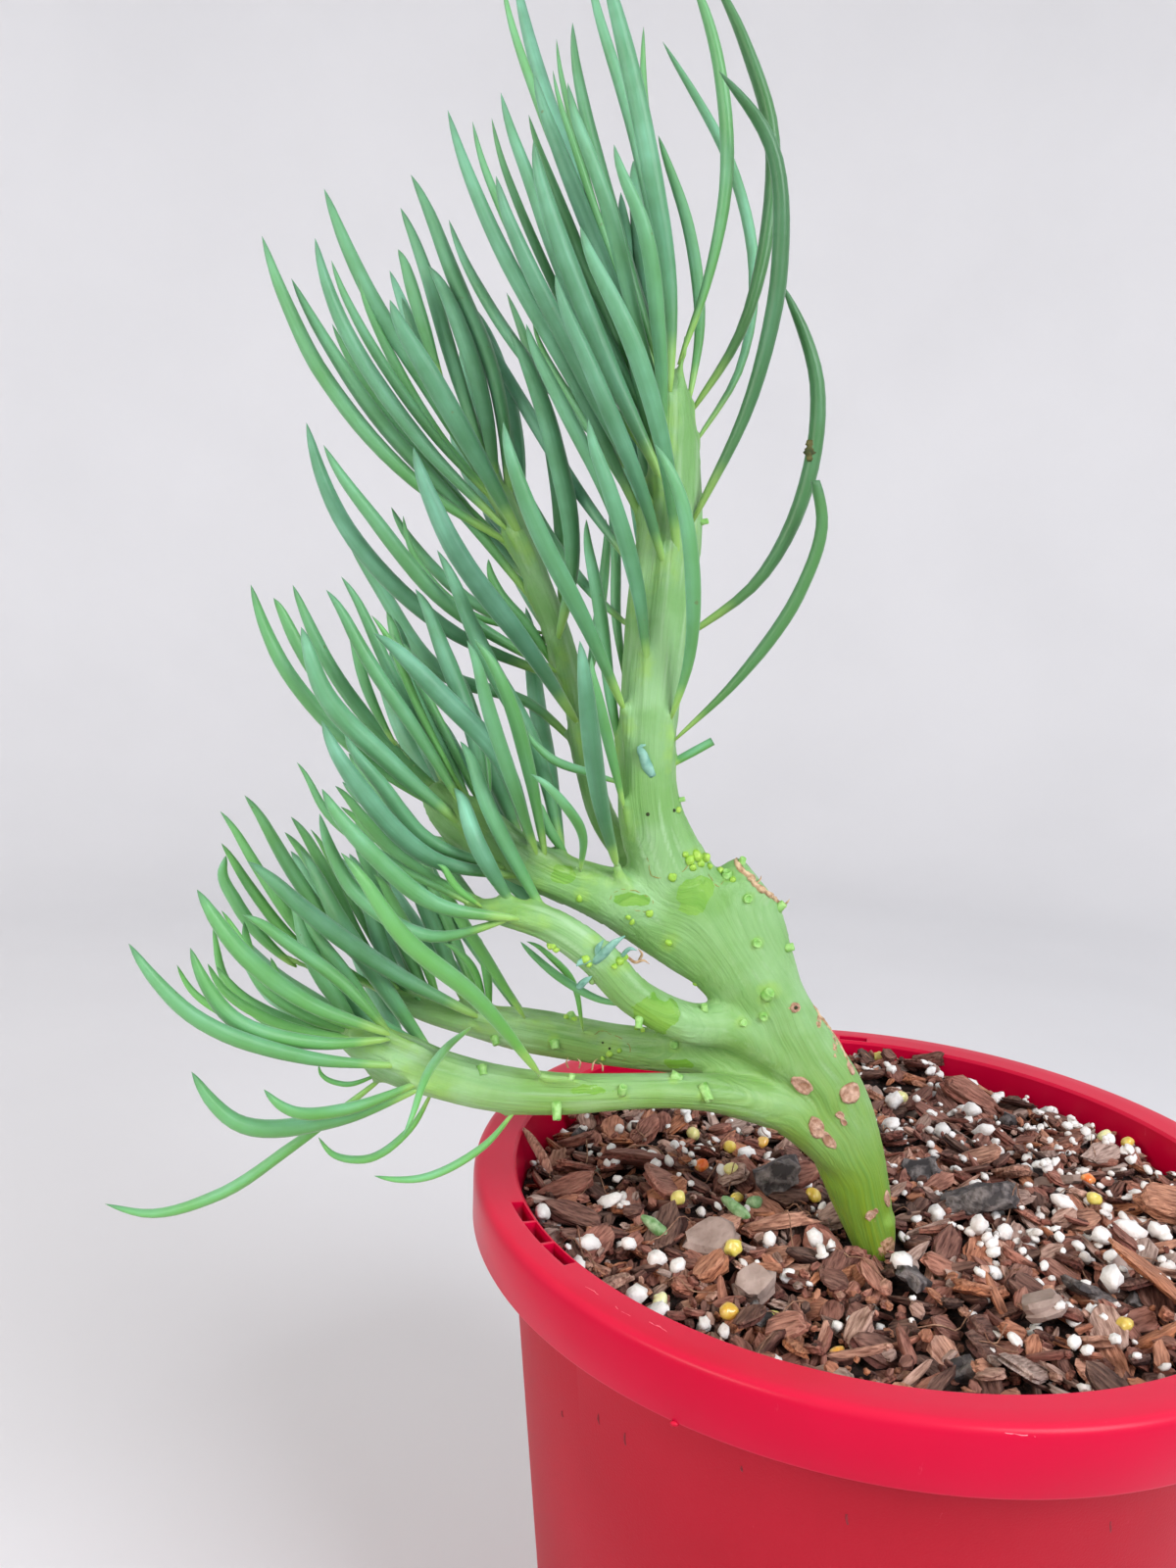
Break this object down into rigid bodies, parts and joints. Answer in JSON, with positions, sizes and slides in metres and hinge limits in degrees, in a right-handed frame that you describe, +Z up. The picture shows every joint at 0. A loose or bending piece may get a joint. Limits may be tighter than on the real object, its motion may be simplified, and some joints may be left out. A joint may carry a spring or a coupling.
{
  "type": "potted chalk sticks",
  "caption": "Crested blue chalk sticks with a fanned flat stem and long finger leaves, leaning over the rim of a round collared pot filled with bark and perlite mix.",
  "frame": {"origin": "middle of the pot's flat underside", "axes": "+Z up along the pot's axis, -Y towards the front view, and the plant leans towards -X"},
  "size_m": [0.2708, 0.194, 0.4471],
  "materials": {
    "pot_plastic": "satin",
    "bark_mix": "matte",
    "stem": "satin",
    "leaf": "matte"
  },
  "bodies": {
    "root": {"pot": "pot_plastic", "potting_mix": "bark_mix", "trunk": "stem", "main_shoot": "leaf", "second_shoot": "leaf", "upper_left_shoot": "leaf", "middle_left_shoot": "leaf", "lower_left_shoot": "leaf", "lowest_shoot": "leaf"}
  },
  "joints": []
}
